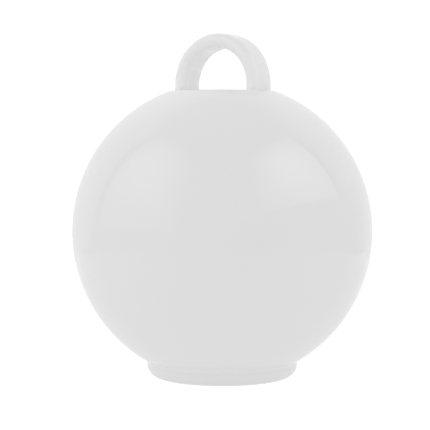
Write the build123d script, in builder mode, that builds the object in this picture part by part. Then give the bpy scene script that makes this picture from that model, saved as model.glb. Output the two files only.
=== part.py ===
from build123d import *
from math import hypot, sqrt
import os

# Ball-shaped balloon weight: a hollow ball with a ribbon loop, filled with sand and closed by a push-in foot.
# Millimetres, +Z up. It stands on z = 0 with the ball's axis on Z. The loop spans X and is threaded along Y.

# Ball shell
ball_diameter = 45.0
ball_wall = 1.4
crown_wall = 2.0            # plastic under the flat crown, which the loop is rooted in
crown_margin = 0.28         # width of the crown past the corners of the loop's legs, with its rounded edge
crown_edge_radius = 0.7
mouth_wall = 3.6            # thickened plastic around the filling mouth, which is the length of its bore
collar_height = 0.46        # straight collar under the ball, flush with the foot
neck_radius = 0.25          # hollow rounding between the ball and the collar
seat_width = 2.74           # flat ring around the mouth, which rests on the foot
bore_chamfer = 0.4

# Ribbon loop
loop_span = 13.18           # between the middles of its two legs
loop_leg_height = 0.91      # straight part of each leg
loop_thickness = 2.13       # across the band, in the plane of the loop
loop_depth = 4.59           # through the band, along Y
loop_front_flat = 0.14      # flat left between the rounded corners on the front of the band
loop_root_radius = 0.12

# Base stopper
foot_diameter = 22.66
foot_height = 1.96
foot_rim_height = 0.07      # straight rim above the rounded lower edge
standing_ring_width = 1.8
recess_depth = 0.8
recess_edge_radius = 0.3
gate_mark_diameter = 2.6
gate_mark_height = 0.25
plug_wall = 1.1
plug_setback = 0.3          # how far the plug stops short of the inside of the mouth
plug_lead_in = 0.4
seal_clearance = 0.08       # between the plug's sealing rings and the bore
seal_ring_radius = 0.35
seal_ring_proud = 0.15      # how far a sealing ring stands out of the plug
seal_ring_shares = (0.26, 0.62)

# Sand ballast
shell_gap = 0.15            # between the sand and the shell
stopper_gap = 0.3           # between the sand and the stopper
headspace = 3.4             # left empty above the sand

# Worked out from the sizes above
ball_radius = ball_diameter / 2
inner_radius = ball_radius - ball_wall
foot_radius = foot_diameter / 2
foot_edge_radius = foot_height - foot_rim_height
bore_radius = foot_radius - seat_width
loop_radius = loop_span / 2
loop_corner_radius = (loop_thickness - loop_front_flat) / 2
corner_x = loop_radius + loop_thickness / 2 - loop_corner_radius
corner_y = loop_depth / 2 - loop_corner_radius
crown_radius = hypot(corner_x, corner_y) + loop_corner_radius + crown_margin
neck_height = foot_height + collar_height
ball_center = neck_height + sqrt(ball_radius**2 - foot_radius**2)
crown_height = ball_center + sqrt(ball_radius**2 - crown_radius**2)
loop_root = crown_height - crown_wall / 2
loop_spring = crown_height + loop_leg_height
mouth_floor = foot_height + mouth_wall
cavity_top = crown_height - crown_wall
standing_radius = foot_radius - foot_edge_radius
recess_radius = standing_radius - standing_ring_width
seal_radius = bore_radius - seal_clearance
plug_radius = seal_radius - seal_ring_proud
plug_bore_radius = plug_radius - plug_wall
plug_length = mouth_wall - plug_setback
sand_floor = mouth_floor + shell_gap
sand_level = cavity_top - headspace

os.makedirs("parts", exist_ok=True)

# Ball shell: ball, collar, crown and ribbon loop in one moulding
with BuildPart() as ball_shell:
    with BuildSketch(Plane.XZ) as ball_profile:
        with Locations((0, ball_center)):
            Circle(ball_radius)
        with Locations((0, neck_height)):
            Rectangle(ball_radius, crown_height - neck_height, align=Align.MIN, mode=Mode.INTERSECT)
        with Locations((0, foot_height)):
            Rectangle(foot_radius, ball_center - foot_height, align=Align.MIN)
        fillet(ball_profile.vertices().sort_by_distance((foot_radius, neck_height))[0], neck_radius)
    revolve(axis=Axis.Z)
    fillet(ball_shell.edges().group_by(Axis.Z)[-1], crown_edge_radius)

    with BuildLine(Plane.XZ) as loop_path:
        near_leg = Line((loop_radius, loop_root), (loop_radius, loop_spring))
        RadiusArc(near_leg @ 1, (-loop_radius, loop_spring), -loop_radius)
        Line((-loop_radius, loop_spring), (-loop_radius, loop_root))
    with BuildSketch(Plane.XY.offset(loop_root)) as loop_section:
        with Locations((loop_radius, 0)):
            RectangleRounded(loop_thickness, loop_depth, loop_corner_radius)
    sweep()
    crown = ball_shell.faces().filter_by(Axis.Z).sort_by(Axis.Z)[-1]
    fillet([edge for footprint in crown.inner_wires() for edge in footprint.edges()], loop_root_radius)

    with BuildSketch(Plane.XZ) as cavity_profile:
        with Locations((0, ball_center)):
            Circle(inner_radius)
        with Locations((0, mouth_floor)):
            Rectangle(inner_radius, cavity_top - mouth_floor, align=Align.MIN, mode=Mode.INTERSECT)
    revolve(axis=Axis.Z, mode=Mode.SUBTRACT)
    with BuildSketch(Plane.XY.offset(foot_height)) as bore_profile:
        Circle(bore_radius)
    extrude(amount=mouth_wall, mode=Mode.SUBTRACT)
    chamfer(ball_shell.edges().group_by(Axis.Z)[0].sort_by(SortBy.LENGTH)[0], bore_chamfer)

ball_shell.part.label = "ball_shell"
export_step(ball_shell.part, "parts/ball_shell.step")

# Base stopper: the foot that the weight stands on, with the hollow plug that closes the mouth
with BuildPart() as base_stopper:
    with BuildSketch(Plane.XY) as foot_profile:
        Circle(foot_radius)
    extrude(amount=foot_height)
    fillet(base_stopper.edges().group_by(Axis.Z)[0], foot_edge_radius)

    with BuildSketch(Plane.XY.offset(foot_height)) as plug_profile:
        Circle(plug_radius)
        Circle(plug_bore_radius, mode=Mode.SUBTRACT)
    extrude(amount=plug_length)
    chamfer(base_stopper.edges().group_by(Axis.Z)[-1].sort_by(SortBy.LENGTH)[-1], plug_lead_in)
    with Locations([(0, 0, foot_height + share * plug_length) for share in seal_ring_shares]):
        Torus(seal_radius - seal_ring_radius, seal_ring_radius)

    with BuildSketch(Plane.XY) as recess_profile:
        Circle(recess_radius)
    extrude(amount=recess_depth, mode=Mode.SUBTRACT)
    fillet(base_stopper.edges().group_by(Axis.Z)[0].sort_by(SortBy.LENGTH)[0], recess_edge_radius)
    with BuildSketch(Plane.XY.offset(recess_depth - gate_mark_height)) as gate_mark_profile:
        Circle(gate_mark_diameter / 2)
    extrude(amount=gate_mark_height)

base_stopper.part.label = "base_stopper"
export_step(base_stopper.part, "parts/base_stopper.step")

# Sand ballast: the settled fill of the ball, down into the hollow of the plug
with BuildPart() as sand_ballast:
    with BuildSketch(Plane.XZ) as sand_profile:
        with Locations((0, ball_center)):
            Circle(inner_radius - shell_gap)
        with Locations((0, sand_floor)):
            Rectangle(inner_radius, sand_level - sand_floor, align=Align.MIN, mode=Mode.INTERSECT)
        with Locations((0, foot_height + stopper_gap)):
            Rectangle(plug_bore_radius - stopper_gap, sand_level - foot_height - stopper_gap, align=Align.MIN)
    revolve(axis=Axis.Z)

sand_ballast.part.label = "sand_ballast"
export_step(sand_ballast.part, "parts/sand_ballast.step")
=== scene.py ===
"""A glossy white balloon weight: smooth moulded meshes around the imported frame, in a white light tent."""
from math import acos, asin, atan2, cos, hypot, pi, radians, sin, sqrt

import bmesh
import bpy
from mathutils import Matrix, Vector, noise


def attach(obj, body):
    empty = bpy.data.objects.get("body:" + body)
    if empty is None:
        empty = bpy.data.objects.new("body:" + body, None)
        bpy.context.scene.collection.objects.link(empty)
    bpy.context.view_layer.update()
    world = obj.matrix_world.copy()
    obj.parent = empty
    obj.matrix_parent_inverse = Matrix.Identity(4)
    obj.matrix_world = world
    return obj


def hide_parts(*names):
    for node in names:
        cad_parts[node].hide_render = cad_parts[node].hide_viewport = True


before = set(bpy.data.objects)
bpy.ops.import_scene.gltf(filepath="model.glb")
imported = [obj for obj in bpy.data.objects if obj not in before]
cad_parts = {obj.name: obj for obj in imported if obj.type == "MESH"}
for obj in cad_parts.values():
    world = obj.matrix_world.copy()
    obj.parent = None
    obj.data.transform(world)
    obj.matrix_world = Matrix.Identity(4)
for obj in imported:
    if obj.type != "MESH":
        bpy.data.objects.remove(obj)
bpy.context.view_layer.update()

MM = 0.001

# Ball shell
ball_radius = 22.5 * MM
ball_wall = 1.4 * MM
crown_wall = 2.0 * MM
crown_margin = 0.28 * MM
crown_edge_radius = 0.7 * MM
mouth_wall = 3.6 * MM
bore_chamfer = 0.4 * MM
collar_height = 0.46 * MM
neck_radius = 0.25 * MM
seat_width = 2.74 * MM

# Ribbon loop
loop_radius = 6.59 * MM
loop_leg_height = 0.91 * MM
loop_thickness = 2.13 * MM
loop_depth = 4.59 * MM
loop_front_flat = 0.14 * MM
loop_root_radius = 0.12 * MM

# Base stopper
foot_radius = 11.33 * MM
foot_height = 1.96 * MM
foot_rim_height = 0.07 * MM
standing_ring_width = 1.8 * MM
recess_depth = 0.8 * MM
recess_edge_radius = 0.3 * MM
gate_mark_radius = 1.3 * MM
gate_mark_height = 0.25 * MM
plug_wall = 1.1 * MM
plug_setback = 0.3 * MM
plug_lead_in = 0.4 * MM
seal_clearance = 0.08 * MM
seal_ring_radius = 0.35 * MM
seal_ring_proud = 0.15 * MM
seal_ring_shares = (0.26, 0.62)

# Sand ballast
shell_gap = 0.15 * MM
stopper_gap = 0.3 * MM
headspace = 3.4 * MM

# Worked out from the sizes above
inner_radius = ball_radius - ball_wall
foot_edge_radius = foot_height - foot_rim_height
bore_radius = foot_radius - seat_width
loop_corner_radius = (loop_thickness - loop_front_flat) / 2
corner_x = loop_radius + loop_thickness / 2 - loop_corner_radius
corner_y = loop_depth / 2 - loop_corner_radius
crown_radius = hypot(corner_x, corner_y) + loop_corner_radius + crown_margin
neck_height = foot_height + collar_height
ball_center = neck_height + sqrt(ball_radius**2 - foot_radius**2)
crown_height = ball_center + sqrt(ball_radius**2 - crown_radius**2)
loop_spring = crown_height + loop_leg_height
loop_top = loop_spring + loop_radius + loop_thickness / 2
mouth_floor = foot_height + mouth_wall
cavity_top = crown_height - crown_wall
seal_radius = bore_radius - seal_clearance
plug_radius = seal_radius - seal_ring_proud
plug_bore_radius = plug_radius - plug_wall
plug_top = mouth_floor - plug_setback
sand_floor = mouth_floor + shell_gap
sand_level = cavity_top - headspace

# Mesh density
turn_steps = 240
ball_steps = 120
inner_steps = 40
round_steps = 8
foot_edge_steps = 16
arch_steps = 72
stub_rings = 40
stub_steps = 20
support = 0.03 * MM         # distance of the rings that keep flat faces flat beside rounded edges
band_support = 2 * support  # the same along the loop's band
crease_angle = radians(32)

# View, measured in the photograph, in pixels and degrees
photo_size = 430
photo_ball_center = (222.2, 231.3)
photo_ball_radius = 149.4
photo_distance = 1429       # from the camera to the middle of the ball
view_azimuth = radians(35.7)
view_elevation = radians(3.6)
view_distance = photo_distance / photo_ball_radius * ball_radius
sensor = 36.0               # millimetres
clip_share = 0.01           # of the distance, where the camera starts to see

# White plastic
plastic_white = 0.9
# Painted light: levels above the plastic's own, which lift the shade at the neck's hollow, the loop's roots
# and its lower legs
neck_painted_light = 0.95
root_painted_light = 0.98
leg_painted_light = 0.935
neck_share = neck_height / loop_top
crown_share = crown_height / loop_top
plastic_tone_and_painted_light = [
    # share of the whole height; level, with painted light that lifts the shade in the hollow at the neck and
    # at the roots of the loop
    (neck_share - 0.008, plastic_white),
    (neck_share - 0.002, neck_painted_light),
    (neck_share + 0.003, neck_painted_light),
    (neck_share + 0.012, plastic_white),
    (crown_share - 0.001, plastic_white),
    (crown_share + 0.001, root_painted_light),
    (crown_share + 0.015, leg_painted_light),
    (crown_share + 0.045, plastic_white),
]
loop_scatter = [
    # share of the loop's height, from the crown up; scatter
    (0.0, 0.0),
    (0.03, 0.75),
    (0.3, 0.62),
    (1.0, 0.1),
]
scatter_depth = 2.0 * MM
plastic_ior = 1.5
plastic_roughness = (0.05, 0.09)
noise_range = (0.3, 0.7)    # where most values of a noise texture lie
cloud_scale = 90.0
cloud_detail = 2
cloud_shares = (0.995, 1.005)
gloss_scale = 300.0
gloss_detail = 2
ripple_scale = 260.0
ripple_detail = 1
ripple_strength = 0.1
ripple_height = 0.01 * MM

# Sand
grain_size = 0.5 * MM
grain_relief = 0.2 * MM
grain_scale = 2200.0
grain_strength = 0.8
grain_height = 0.2 * MM
sand_roughness = 0.9
sand_tones = [
    # share of the grains; colour
    (0.0, (0.27, 0.19, 0.11)),
    (0.45, (0.48, 0.36, 0.23)),
    (0.8, (0.60, 0.49, 0.34)),
    (1.0, (0.78, 0.70, 0.57)),
]

# Floors, which lie in three thin layers: one is seen, one lights the object and one is mirrored by it
floor_drop = 0.02 * MM
bounce_drop = 2 * floor_drop
sheen_drop = 3 * floor_drop
floor_reach = 2.0
sheen_reach = 0.11
floor_shade = 0.3
floor_glow = 0.9
bounce_glow = 0.79
contact_share = 0.9         # of the bounce, in the painted shadow under the foot
contact_reach = (9.5 * MM, 16.0 * MM)
sheen_floor = (0.76, 1.02)  # near and far

# Light tent
backdrop_level = 1.05
front_level = 0.757
back_level = 0.91
roof_level = 0.63
roof_edge = (0.7, 0.92)     # height that the roof starts at and is full at, on a dome of radius 1
tent_sides = [
    # share of a turn, from straight behind by the picture's left, front and right; level
    (0.0, back_level),
    (0.17, back_level),
    (0.21, front_level),
    (0.79, front_level),
    (0.83, back_level),
    (1.0, back_level),
]

# Cards. Turns are degrees from the view towards the picture's right, seen from the ball. Widths and heights
# are shares of the distance, and heights start at the middle of the ball. A rim is given as its share of the
# full level and the share of the card over which it rises to that level.
card_distance = 3.0
dim_distance = 3.15         # behind the softboxes
softboxes = [
    # name, light, sheen, turn, width, low, high, rims at its sides, rims at its ends
    ("softbox_left", 0.38, 0.96, -69.3, 1.41, 0.045, 1.79,
     ((0.41, 0.44), (0.32, 0.41)), ((0.38, 0.35), (0.42, 0.56))),
    ("softbox_right", 0.355, 1.29, 67.3, 1.47, 0.34, 1.755,
     ((0.4, 0.51), (0.45, 0.44)), ((0.57, 0.34), (0.42, 0.46))),
]
back_light_level = 0.65
back_light_place = (180, 3.2, 0.45, 2.6)    # turn, width, low, high
back_light_rims = ((0.0, 0.3), (0.0, 0.3))
dim_cards = [
    # name, level, turn, width, low, high, shares that its sides and its ends fade over
    ("edge_left", 0.5, -109.5, 0.1, 0.0, 1.3, (0.3, 0.3), (0.1, 0.3)),
    ("edge_right", 0.5, 107.5, 0.1, 0.2, 1.3, (0.3, 0.3), (0.1, 0.3)),
    ("low_left", 0.73, -90, 1.3, -0.21, 0.02, (0.2, 0.2), (0.1, 0.3)),
    ("low_front", 0.62, 27, 1.0, -0.27, 0.25, (0.1, 0.1), (0.3, 0.2)),
    ("low_right", 0.7, 102, 1.9, -0.21, 0.3, (0.15, 0.45), (0.1, 0.1)),
    ("line_left", 0.68, -130, 0.7, -0.195, -0.135, (0.3, 0.3), (0.3, 0.3)),
    ("line_right", 0.68, 125, 1.1, -0.19, -0.13, (0.3, 0.3), (0.3, 0.3)),
    ("line_back", 0.72, 180, 0.4, -0.4, -0.1, (0.2, 0.2), (0.1, 0.3)),
]


def arc(center, radius, start, end, steps):
    """Points on an arc about center, in the (radius, height) plane, with both ends."""
    angles = [start + (end - start) * i / steps for i in range(steps + 1)]
    return [(center[0] + radius * cos(a), center[1] + radius * sin(a)) for a in angles]


def revolve(bm, profile):
    """Turns (radius, height) points about Z into rings of faces, and returns the rings."""
    turns = [2 * pi * i / turn_steps for i in range(turn_steps)]
    rings = []
    for radius, height in profile:
        if radius == 0:
            rings.append([bm.verts.new((0, 0, height))] * turn_steps)
        else:
            rings.append([bm.verts.new((radius * cos(t), radius * sin(t), height)) for t in turns])
    for low, high in zip(rings, rings[1:]):
        skin(bm, low, high)
    return rings


def skin(bm, first, second):
    """Joins two closed rings of vertices by faces. A ring whose vertices are all one makes a fan."""
    for i, vert in enumerate(first):
        after = (i + 1) % len(first)
        corners = [vert, first[after], second[after], second[i]]
        bm.faces.new(list(dict.fromkeys(corners)))


def ring_edges(bm, ring):
    """The edges along a closed ring of vertices."""
    return [bm.edges.get((a, b)) for a, b in zip(ring, ring[1:] + ring[:1])]


def finish_piece(bm, name, node, body, material):
    """Makes the mesh a smooth piece with sharp creases, which rides on a body and replaces a node."""
    bmesh.ops.recalc_face_normals(bm, faces=bm.faces)
    mesh = bpy.data.meshes.new(name)
    bm.to_mesh(mesh)
    bm.free()
    for face in mesh.polygons:
        face.use_smooth = True
    mesh.set_sharp_from_angle(angle=crease_angle)
    mesh.materials.append(material)
    piece = bpy.data.objects.new(name, mesh)
    bpy.context.scene.collection.objects.link(piece)
    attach(piece, body)
    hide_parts(node)


def loop_section(grow):
    """Outline of the loop's band, in its own plane and along Y, grown outwards by grow."""
    half_u, half_v = loop_thickness / 2 + grow, loop_depth / 2 + grow
    radius = loop_corner_radius + grow
    outline = []
    for quarter, (sign_u, sign_v) in enumerate(((1, 1), (-1, 1), (-1, -1), (1, -1))):
        center = (sign_u * (half_u - radius), sign_v * (half_v - radius))
        corner = arc(center, radius, quarter * pi / 2, (quarter + 1) * pi / 2, round_steps)
        (first_u, first_v), (last_u, last_v) = corner[0], corner[-1]
        inward_u, inward_v = -sign_u * band_support, -sign_v * band_support
        if quarter % 2 == 0:
            before, after = (first_u, first_v + inward_v), (last_u + inward_u, last_v)
        else:
            before, after = (first_u + inward_u, first_v), (last_u, last_v + inward_v)
        outline += [before, *corner, after]
    return outline


def loop_ring(bm, x, z, turn, grow=0.0):
    """One ring of the loop around the point (x, z) of its centreline. Turn points away from its middle."""
    return [bm.verts.new((x + u * cos(turn), v, z + u * sin(turn))) for u, v in loop_section(grow)]


def leg_rings(bm, side):
    """Rings of one leg's rounded root, from the crown upwards."""
    turn = 0 if side > 0 else pi
    rings = [loop_ring(bm, side * loop_radius, crown_height, turn, loop_root_radius + support)]
    for i in range(round_steps + 1):
        angle = i / round_steps * pi / 2
        grow = loop_root_radius * (1 - sin(angle))
        rise = loop_root_radius * (1 - cos(angle))
        rings.append(loop_ring(bm, side * loop_radius, crown_height + rise, turn, grow))
    return rings


def add_loop(bm):
    """Adds the ribbon loop and returns the two rings where its legs meet the crown."""
    near, far = leg_rings(bm, 1), leg_rings(bm, -1)
    arch = []
    for i in range(arch_steps + 1):
        turn = pi * i / arch_steps
        arch.append(loop_ring(bm, loop_radius * cos(turn), loop_spring + loop_radius * sin(turn), turn))
    rings = near + arch + far[::-1]
    for first, second in zip(rings, rings[1:]):
        skin(bm, first, second)
    return near[0], far[0]


def build_shell(material):
    """Ball, collar, crown and ribbon loop as one closed moulding with its cavity and mouth."""
    middle = (0, ball_center)
    round_height = crown_height - crown_edge_radius
    round_radius = sqrt((ball_radius - crown_edge_radius) ** 2 - (round_height - ball_center) ** 2)
    round_end = atan2(round_height - ball_center, round_radius)
    neck_out = foot_radius + neck_radius
    neck_angle = -acos(neck_out / (ball_radius + neck_radius))
    neck_middle = (neck_out, ball_center - sqrt((ball_radius + neck_radius) ** 2 - neck_out**2))
    mouth_angle = asin((mouth_floor - ball_center) / inner_radius)
    roof_angle = asin((cavity_top - ball_center) / inner_radius)
    profile = [(round_radius - support, crown_height)]
    profile += arc((round_radius, round_height), crown_edge_radius, pi / 2, round_end, round_steps)
    profile += arc(middle, ball_radius, round_end, neck_angle, ball_steps)[1:]
    profile += arc(neck_middle, neck_radius, neck_angle + pi, pi, round_steps)[1:]
    profile += [(foot_radius, foot_height + support), (foot_radius, foot_height)]
    profile += [(bore_radius + bore_chamfer, foot_height), (bore_radius, foot_height + bore_chamfer)]
    profile += [(bore_radius, mouth_floor)]
    profile += arc(middle, inner_radius, mouth_angle, roof_angle, inner_steps)
    profile += [(0, cavity_top)]
    bm = bmesh.new()
    crown_ring = revolve(bm, profile)[0]
    near_root, far_root = add_loop(bm)
    rims = ring_edges(bm, crown_ring) + ring_edges(bm, near_root) + ring_edges(bm, far_root)
    bmesh.ops.triangle_fill(bm, use_beauty=True, edges=rims)
    finish_piece(bm, "ball_moulding", "ball_shell", "ball", material)


def build_stopper(material):
    """Foot with its hollowed underside, standing ring and the hollow plug with sealing rings."""
    standing_radius = foot_radius - foot_edge_radius
    recess_radius = standing_radius - standing_ring_width
    recess_edge_middle = (recess_radius + recess_edge_radius, recess_edge_radius)
    gate_mark_floor = recess_depth - gate_mark_height
    ring_reach = acos((seal_ring_radius - seal_ring_proud) / seal_ring_radius)
    profile = [(0, gate_mark_floor), (gate_mark_radius, gate_mark_floor)]
    profile += [(gate_mark_radius, recess_depth), (recess_radius, recess_depth)]
    profile += arc(recess_edge_middle, recess_edge_radius, pi, 1.5 * pi, round_steps)
    profile += arc((standing_radius, foot_edge_radius), foot_edge_radius, -pi / 2, 0, foot_edge_steps)
    profile += [(foot_radius, foot_height), (plug_radius, foot_height)]
    for share in seal_ring_shares:
        ring_center = (seal_radius - seal_ring_radius, foot_height + share * (plug_top - foot_height))
        profile += arc(ring_center, seal_ring_radius, -ring_reach, ring_reach, round_steps)
    profile += [(plug_radius, plug_top - plug_lead_in), (plug_radius - plug_lead_in, plug_top)]
    profile += [(plug_bore_radius, plug_top), (plug_bore_radius, foot_height), (0, foot_height)]
    bm = bmesh.new()
    revolve(bm, profile)
    finish_piece(bm, "foot_stopper", "base_stopper", "base", material)


def build_sand(material):
    """Settled sand inside the solid that it stands for, with grains on the stub that the mouth shows."""
    sand_radius = inner_radius - shell_gap
    stub_radius = plug_bore_radius - stopper_gap
    low_angle = asin((sand_floor - ball_center) / sand_radius)
    high_angle = asin((sand_level - ball_center) / sand_radius)
    stub_floor = foot_height + stopper_gap
    stub_height = sand_floor - stub_floor
    profile = [(stub_radius * i / stub_rings, stub_floor) for i in range(stub_rings)]
    profile += [(stub_radius, stub_floor + stub_height * i / stub_steps) for i in range(stub_steps + 1)]
    profile += arc((0, ball_center), sand_radius, low_angle, high_angle, inner_steps)
    profile += [(0, sand_level)]
    bm = bmesh.new()
    rings = revolve(bm, profile)
    for ring in rings[:stub_rings + stub_steps]:
        for vert in dict.fromkeys(ring):
            depth = grain_relief * min(1, noise.voronoi(vert.co / grain_size)[0][0])
            reach = hypot(vert.co.x, vert.co.y)
            if reach > stub_radius - support:
                vert.co.x *= 1 - depth / reach
                vert.co.y *= 1 - depth / reach
            if vert.co.z < stub_floor + support:
                vert.co.z += depth
    finish_piece(bm, "sand_fill", "sand_ballast", "ball", material)


def new_material(name):
    """A material, its nodes, its links and its surface shader."""
    material = bpy.data.materials.new(name)
    material.use_nodes = True
    tree = material.node_tree
    return material, tree.nodes, tree.links, tree.nodes["Principled BSDF"]


def add_noise(nodes, links, coordinates, scale, detail):
    """A noise texture over the given coordinates, and its grey output."""
    texture = nodes.new("ShaderNodeTexNoise")
    texture.inputs["Scale"].default_value = scale
    texture.inputs["Detail"].default_value = detail
    links.new(coordinates, texture.inputs["Vector"])
    return texture.outputs["Fac"]


def add_split(nodes, links, coordinates):
    """A vector's parts, as outputs named X, Y and Z."""
    split = nodes.new("ShaderNodeSeparateXYZ")
    links.new(coordinates, split.inputs["Vector"])
    return split.outputs


def greys(stops):
    """Ramp stops with a level each, as stops with a colour each."""
    return [(position, (level,) * 3) for position, level in stops]


def add_ramp(nodes, links, factor, stops):
    """A colour ramp over a grey value, with (position, colour) stops, and its colour output."""
    ramp = nodes.new("ShaderNodeValToRGB")
    elements = ramp.color_ramp.elements
    while len(elements) < len(stops):
        elements.new(0.5)   # its place is set below
    for element, (position, color) in zip(elements, stops):
        element.position = position
        element.color = (*color, 1)
    links.new(factor, ramp.inputs["Fac"])
    return ramp.outputs["Color"]


def add_range(nodes, links, value, source, target, kind="LINEAR"):
    """A value mapped from one range to another, and its output."""
    mapping = nodes.new("ShaderNodeMapRange")
    mapping.interpolation_type = kind
    mapping.inputs["From Min"].default_value, mapping.inputs["From Max"].default_value = source
    mapping.inputs["To Min"].default_value, mapping.inputs["To Max"].default_value = target
    links.new(value, mapping.inputs["Value"])
    return mapping.outputs["Result"]


def multiply(nodes, links, value, factor):
    """A value times a number or another value, and its output."""
    product = nodes.new("ShaderNodeMath")
    product.operation = "MULTIPLY"
    links.new(value, product.inputs[0])
    if isinstance(factor, float):
        product.inputs[1].default_value = factor
    else:
        links.new(factor, product.inputs[1])
    return product.outputs["Value"]


def add_bump(nodes, links, shader, height, strength, distance):
    """Fine relief from a grey height on the shader's normal."""
    bump = nodes.new("ShaderNodeBump")
    bump.inputs["Strength"].default_value = strength
    bump.inputs["Distance"].default_value = distance
    links.new(height, bump.inputs["Height"])
    links.new(bump.outputs["Normal"], shader.inputs["Normal"])


def white_plastic(name):
    """Glossy white moulded plastic: faintly cloudy, a trace uneven, passing light in the thin loop, and
    lighter by painted light at the neck and at the loop's roots.
    """
    material, nodes, links, shader = new_material(name)
    place = nodes.new("ShaderNodeTexCoord").outputs["Object"]
    z = add_split(nodes, links, place)["Z"]
    height = add_range(nodes, links, z, (0, loop_top), (0, 1))
    # painted light: the tone is lifted in the neck's hollow and at the loop's roots, where shade falls
    tone = add_ramp(nodes, links, height, greys(plastic_tone_and_painted_light))
    clouds = add_noise(nodes, links, place, cloud_scale, cloud_detail)
    cloudy = multiply(nodes, links, tone, add_range(nodes, links, clouds, noise_range, cloud_shares))
    links.new(cloudy, shader.inputs["Base Color"])
    gloss = add_noise(nodes, links, place, gloss_scale, gloss_detail)
    roughness = add_range(nodes, links, gloss, noise_range, plastic_roughness)
    links.new(roughness, shader.inputs["Roughness"])
    ripples = add_noise(nodes, links, place, ripple_scale, ripple_detail)
    add_bump(nodes, links, shader, ripples, ripple_strength, ripple_height)
    shader.inputs["IOR"].default_value = plastic_ior
    rise = add_range(nodes, links, z, (crown_height, loop_top), (0, 1))
    scatter = add_ramp(nodes, links, rise, greys(loop_scatter))
    links.new(scatter, shader.inputs["Subsurface Weight"])
    shader.inputs["Subsurface Radius"].default_value = (1, 1, 1)
    shader.inputs["Subsurface Scale"].default_value = scatter_depth
    return material


def sand_grains(name):
    """Pale dry sand: grains of different colours with dark gaps between them."""
    material, nodes, links, shader = new_material(name)
    place = nodes.new("ShaderNodeTexCoord").outputs["Object"]
    grains = nodes.new("ShaderNodeTexVoronoi")
    grains.inputs["Scale"].default_value = grain_scale
    links.new(place, grains.inputs["Vector"])
    tone = nodes.new("ShaderNodeSeparateColor")
    links.new(grains.outputs["Color"], tone.inputs["Color"])
    links.new(add_ramp(nodes, links, tone.outputs["Red"], sand_tones), shader.inputs["Base Color"])
    add_bump(nodes, links, shader, grains.outputs["Distance"], grain_strength, grain_height)
    shader.inputs["Roughness"].default_value = sand_roughness
    return material


def add_camera():
    """Camera at the photograph's viewing angle, aimed so that the ball falls on its place in the frame."""
    run = cos(view_elevation)
    toward = Vector((sin(view_azimuth) * run, -cos(view_azimuth) * run, sin(view_elevation)))
    turn = toward.to_track_quat("Z", "Y").to_matrix()
    right, up = turn.col[0], turn.col[1]
    pixel = ball_radius / photo_ball_radius
    middle = Vector((0, 0, ball_center))
    place = middle + toward * view_distance
    aim_right = (photo_size / 2 - photo_ball_center[0]) * pixel
    aim_up = (photo_ball_center[1] - photo_size / 2) * pixel
    aim = middle + right * aim_right + up * aim_up
    camera = bpy.data.objects.new("camera", bpy.data.cameras.new("camera"))
    bpy.context.scene.collection.objects.link(camera)
    facing = (place - aim).to_track_quat("Z", "Y").to_matrix()
    camera.matrix_world = Matrix.Translation(place) @ facing.to_4x4()
    camera.data.sensor_width = sensor
    camera.data.lens = sensor * view_distance / (photo_size * pixel)
    camera.data.clip_start = view_distance * clip_share
    bpy.context.scene.camera = camera


def glow(name):
    """A glowing material for the stage, with its nodes, its links and its emission node."""
    material, nodes, links, shader = new_material(name)
    nodes.remove(shader)
    emission = nodes.new("ShaderNodeEmission")
    links.new(emission.outputs["Emission"], nodes["Material Output"].inputs["Surface"])
    return material, nodes, links, emission


def rim_share(nodes, links, sides, ends):
    """A grey value over a card that rises from each rim's own level to 1, over a share of the card."""
    place = add_split(nodes, links, nodes.new("ShaderNodeTexCoord").outputs["Generated"])
    total = None
    for axis, rims in (("X", sides), ("Z", ends)):
        for start, (level, share) in zip((0, 1), rims):
            source = (start, start + share * (1 - 2 * start))
            rise = add_range(nodes, links, place[axis], source, (level, 1), "SMOOTHSTEP")
            total = multiply(nodes, links, total, rise) if total else rise
    return total


def soft_glow(name, strength, sides, ends):
    """A glow with a hot middle that adds to what lies behind it."""
    material, nodes, links, emission = glow(name)
    hot = multiply(nodes, links, rim_share(nodes, links, sides, ends), strength)
    links.new(hot, emission.inputs["Strength"])
    total = nodes.new("ShaderNodeAddShader")
    links.new(nodes.new("ShaderNodeBsdfTransparent").outputs["BSDF"], total.inputs[0])
    links.new(emission.outputs["Emission"], total.inputs[1])
    links.new(total.outputs["Shader"], nodes["Material Output"].inputs["Surface"])
    return material


def soft_cover(name, strength, sides, ends):
    """A dim glow that hides what lies behind it, with rims that fade out over shares of the card."""
    material, nodes, links, emission = glow(name)
    emission.inputs["Strength"].default_value = strength
    cover = nodes.new("ShaderNodeMixShader")
    clear_rims = [[(0, share) for share in shares] for shares in (sides, ends)]
    links.new(rim_share(nodes, links, *clear_rims), cover.inputs["Fac"])
    links.new(nodes.new("ShaderNodeBsdfTransparent").outputs["BSDF"], cover.inputs[1])
    links.new(emission.outputs["Emission"], cover.inputs[2])
    links.new(cover.outputs["Shader"], nodes["Material Output"].inputs["Surface"])
    return material


def pale_surface(name):
    """The floor that is seen, which is clear from below."""
    material, nodes, links, shader = new_material(name)
    shader.inputs["Base Color"].default_value = (floor_shade, floor_shade, floor_shade, 1)
    shader.inputs["Roughness"].default_value = 1
    shader.inputs["Specular IOR Level"].default_value = 0
    shader.inputs["Emission Color"].default_value = (1, 1, 1, 1)
    shader.inputs["Emission Strength"].default_value = floor_glow
    one_sided = nodes.new("ShaderNodeMixShader")
    links.new(nodes.new("ShaderNodeNewGeometry").outputs["Backfacing"], one_sided.inputs["Fac"])
    links.new(shader.outputs["BSDF"], one_sided.inputs[1])
    links.new(nodes.new("ShaderNodeBsdfTransparent").outputs["BSDF"], one_sided.inputs[2])
    links.new(one_sided.outputs["Shader"], nodes["Material Output"].inputs["Surface"])
    return material


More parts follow.
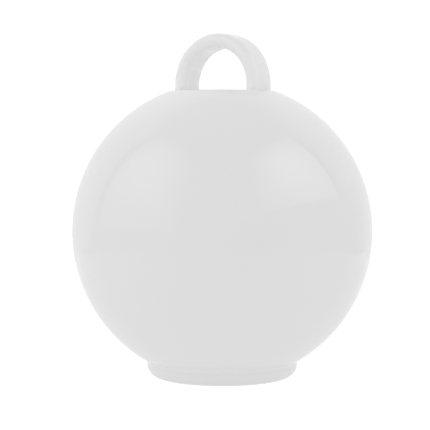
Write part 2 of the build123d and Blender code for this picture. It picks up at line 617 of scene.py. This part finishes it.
def bounce_surface(name):
    """The glowing floor that lights the object, with a painted shadow that makes it a little darker under
    its foot.
    """
    material, nodes, links, emission = glow(name)
    reach = nodes.new("ShaderNodeVectorMath")
    reach.operation = "LENGTH"
    links.new(nodes.new("ShaderNodeTexCoord").outputs["Object"], reach.inputs["Vector"])
    levels = (contact_share * bounce_glow, bounce_glow)
    # painted shadow: the glow falls to a share of itself under the foot
    shade = add_range(nodes, links, reach.outputs["Value"], contact_reach, levels, "SMOOTHSTEP")
    links.new(shade, emission.inputs["Strength"])
    return material


def sheen_surface(name):
    """The floor that the object mirrors, brighter towards its far side."""
    material, nodes, links, emission = glow(name)
    place = add_split(nodes, links, nodes.new("ShaderNodeTexCoord").outputs["Generated"])
    links.new(add_range(nodes, links, place["Y"], (0, 1), sheen_floor), emission.inputs["Strength"])
    return material


def new_quad(name, material, corners):
    """An object of one four-sided face."""
    mesh = bpy.data.meshes.new(name)
    mesh.from_pydata(corners, [], [(0, 1, 2, 3)])
    mesh.materials.append(material)
    quad = bpy.data.objects.new(name, mesh)
    bpy.context.scene.collection.objects.link(quad)
    return quad


def add_card(name, material, turn, width, low, high, distance=card_distance):
    """An upright card that faces the ball and isn't seen itself."""
    half = width / 2 * distance
    bottom, top = low * distance, high * distance
    corners = [(-half, 0, bottom), (half, 0, bottom), (half, 0, top), (-half, 0, top)]
    card = new_quad(name, material, corners)
    angle = view_azimuth + radians(turn)
    spot = Vector((sin(angle) * distance, -cos(angle) * distance, ball_center))
    card.matrix_world = Matrix.Translation(spot) @ Matrix.Rotation(angle, 4, "Z")
    card.visible_camera = False
    return card


def add_floor(name, material, drop, half):
    """A level square of floor, turned to the view."""
    corners = [(-half, -half, 0), (half, -half, 0), (half, half, 0), (-half, half, 0)]
    floor = new_quad(name, material, corners)
    floor.location.z = -drop
    floor.rotation_euler.z = view_azimuth
    return floor


def add_tent():
    """Surroundings: white to the eye, and to the object a tent with a dim front and a bright back."""
    world = bpy.data.worlds.new("light_tent")
    bpy.context.scene.world = world
    world.use_nodes = True
    nodes, links = world.node_tree.nodes, world.node_tree.links
    seen = nodes["Background"]
    seen.inputs["Color"].default_value = (1, 1, 1, 1)
    seen.inputs["Strength"].default_value = backdrop_level
    direction = nodes.new("ShaderNodeTexCoord").outputs["Generated"]
    turn = nodes.new("ShaderNodeMapping")
    turn.inputs["Rotation"].default_value = (0, 0, pi / 2 - view_azimuth)
    links.new(direction, turn.inputs["Vector"])
    around = nodes.new("ShaderNodeTexGradient")
    around.gradient_type = "RADIAL"
    links.new(turn.outputs["Vector"], around.inputs["Vector"])
    sides = add_ramp(nodes, links, around.outputs["Fac"], greys(tent_sides))
    height = add_split(nodes, links, direction)["Z"]
    mix = nodes.new("ShaderNodeMix")
    mix.data_type = "RGBA"
    links.new(add_range(nodes, links, height, roof_edge, (0, 1), "SMOOTHSTEP"), mix.inputs["Factor"])
    links.new(sides, mix.inputs["A"])
    mix.inputs["B"].default_value = (roof_level, roof_level, roof_level, 1)
    tent = nodes.new("ShaderNodeBackground")
    links.new(mix.outputs["Result"], tent.inputs["Color"])
    choice = nodes.new("ShaderNodeMixShader")
    links.new(nodes.new("ShaderNodeLightPath").outputs["Is Camera Ray"], choice.inputs["Fac"])
    links.new(tent.outputs["Background"], choice.inputs[1])
    links.new(seen.outputs["Background"], choice.inputs[2])
    links.new(choice.outputs["Shader"], nodes["World Output"].inputs["Surface"])


def add_floors():
    """The three layers of the floor."""
    floor = add_floor("floor", pale_surface("floor"), floor_drop, floor_reach)
    floor.visible_diffuse = floor.visible_glossy = False
    floor.visible_transmission = floor.visible_shadow = False
    bounce = add_floor("floor_bounce", bounce_surface("floor_bounce"), bounce_drop, floor_reach)
    bounce.visible_camera = bounce.visible_glossy = False
    sheen = add_floor("floor_sheen", sheen_surface("floor_sheen"), sheen_drop, sheen_reach)
    sheen.visible_camera = sheen.visible_diffuse = False


def add_cards():
    """Two softboxes, each as a light and as a mirrored image, a back light and the dim cards."""
    for name, light, sheen, turn, width, low, high, sides, ends in softboxes:
        lamp = add_card(name, soft_glow(name, light, sides, ends), turn, width, low, high)
        lamp.visible_glossy = False
        image_name = name + "_sheen"
        image = add_card(image_name, soft_glow(image_name, sheen, sides, ends), turn, width, low, high)
        image.visible_diffuse = False
    back_glow = soft_glow("back_light", back_light_level, back_light_rims, back_light_rims)
    back = add_card("back_light", back_glow, *back_light_place)
    back.visible_glossy = False
    for name, level, turn, width, low, high, sides, ends in dim_cards:
        card = add_card(name, soft_cover(name, level, sides, ends), turn, width, low, high, dim_distance)
        card.visible_diffuse = False
        card.visible_shadow = False


def add_studio():
    """Light tent, floors and cards, shown in plain colours."""
    add_tent()
    add_floors()
    add_cards()
    bpy.context.scene.view_settings.view_transform = "Standard"


build_shell(white_plastic("shell_plastic"))
build_stopper(white_plastic("stopper_plastic"))
build_sand(sand_grains("sand"))
add_camera()
add_studio()
